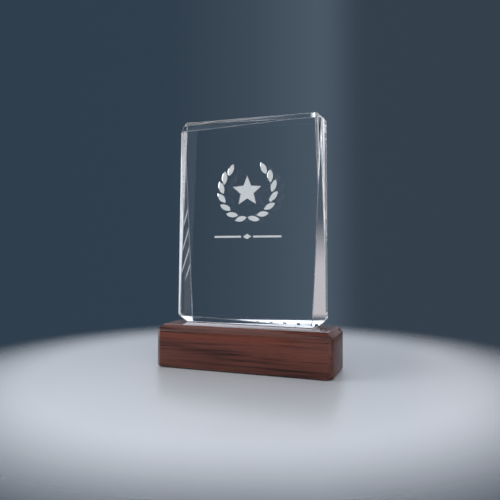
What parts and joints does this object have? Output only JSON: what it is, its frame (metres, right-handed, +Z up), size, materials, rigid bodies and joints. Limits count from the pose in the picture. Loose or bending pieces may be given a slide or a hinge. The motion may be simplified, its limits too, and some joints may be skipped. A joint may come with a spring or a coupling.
{
  "type": "crystal award",
  "caption": "Upright bevelled crystal plaque with an engraved emblem, bonded on a chamfered hardwood block with a felt underside.",
  "frame": {"origin": "middle of the base's footprint, on the surface that the felt rests on", "axes": "+X along the base to the viewer's right, +Y from the engraved front to the back, +Z up"},
  "size_m": [0.18, 0.06, 0.2504],
  "materials": {
    "crystal": "clear colourless optical crystal, all faces and bevels polished",
    "wood": "dark reddish-brown hardwood with straight fine grain, satin-gloss lacquer",
    "felt": "short black felt",
    "adhesive": "cured clear adhesive",
    "enamel": "satin white enamel in the engraved recesses"
  },
  "bodies": {
    "root": {"crystal_block": "crystal", "wood_base": "wood", "felt_pad": "felt", "bond_bead_1": "adhesive", "bond_bead_2": "adhesive", "bond_bead_3": "adhesive", "bond_bead_4": "adhesive", "bond_bead_5": "adhesive", "bond_bead_6": "adhesive", "bond_bead_7": "adhesive", "bond_bead_8": "adhesive", "bond_bead_9": "adhesive", "bond_bead_10": "adhesive", "engraved_star": "enamel", "engraved_leaf_left_1": "enamel", "engraved_leaf_left_2": "enamel", "engraved_leaf_left_3": "enamel", "engraved_leaf_left_4": "enamel", "engraved_leaf_left_5": "enamel", "engraved_leaf_left_6": "enamel", "engraved_leaf_left_7": "enamel", "engraved_leaf_right_1": "enamel", "engraved_leaf_right_2": "enamel", "engraved_leaf_right_3": "enamel", "engraved_leaf_right_4": "enamel", "engraved_leaf_right_5": "enamel", "engraved_leaf_right_6": "enamel", "engraved_leaf_right_7": "enamel", "engraved_rule_left": "enamel", "engraved_rule_right": "enamel", "engraved_lozenge": "enamel"}
  },
  "joints": []
}
